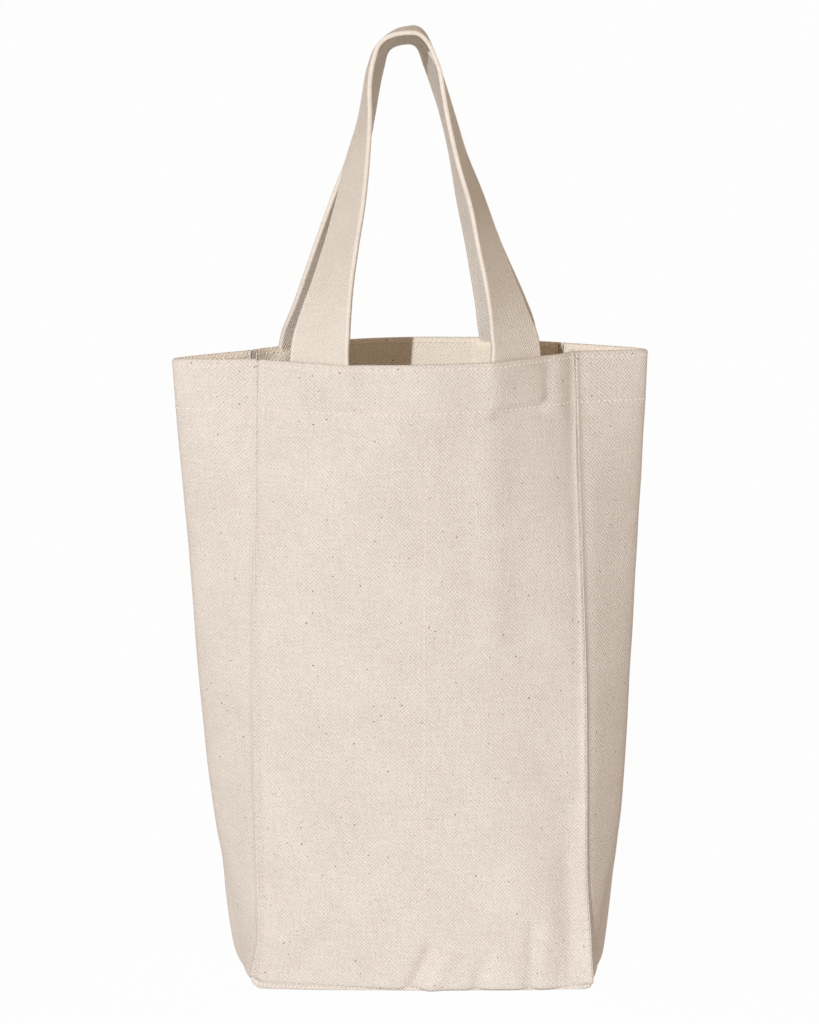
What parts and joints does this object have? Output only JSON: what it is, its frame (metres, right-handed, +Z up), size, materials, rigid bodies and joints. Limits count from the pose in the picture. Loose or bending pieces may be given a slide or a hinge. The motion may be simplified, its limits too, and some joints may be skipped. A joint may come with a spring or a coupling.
{
  "type": "two-bottle carrier bag",
  "caption": "Tall sewn canvas carrier bag for wine bottles, with creased side gussets, a flat base, a divider inside and web handles that meet over the mouth.",
  "frame": {"origin": "on the floor under the middle of the base", "axes": "+Z up, +X to the right as seen from the front, front at -Y"},
  "size_m": [0.2486, 0.095, 0.4991],
  "materials": {
    "canvas": "natural unbleached cotton canvas",
    "web": "natural cotton web"
  },
  "bodies": {
    "bag": {"front_panel": "canvas", "back_panel": "canvas", "left_gusset": "canvas", "right_gusset": "canvas", "base_panel": "canvas", "divider_panel": "canvas", "front_facing": "canvas", "back_facing": "canvas", "left_facing": "canvas", "right_facing": "canvas", "front_handle_left_end": "web", "front_handle_right_end": "web", "back_handle_left_end": "web", "back_handle_right_end": "web"},
    "front_handle": {"front_handle": "web"},
    "back_handle": {"back_handle": "web"}
  },
  "joints": [
    {"name": "front_handle_swing", "type": "hinge", "parent": "bag", "child": "front_handle", "pos_m": [0, -0.04015, 0.337], "axis": [1, 0, 0], "range_deg": [0, 120]},
    {"name": "back_handle_swing", "type": "hinge", "parent": "bag", "child": "back_handle", "pos_m": [0, 0.04015, 0.337], "axis": [-1, 0, 0], "range_deg": [0, 120]}
  ]
}
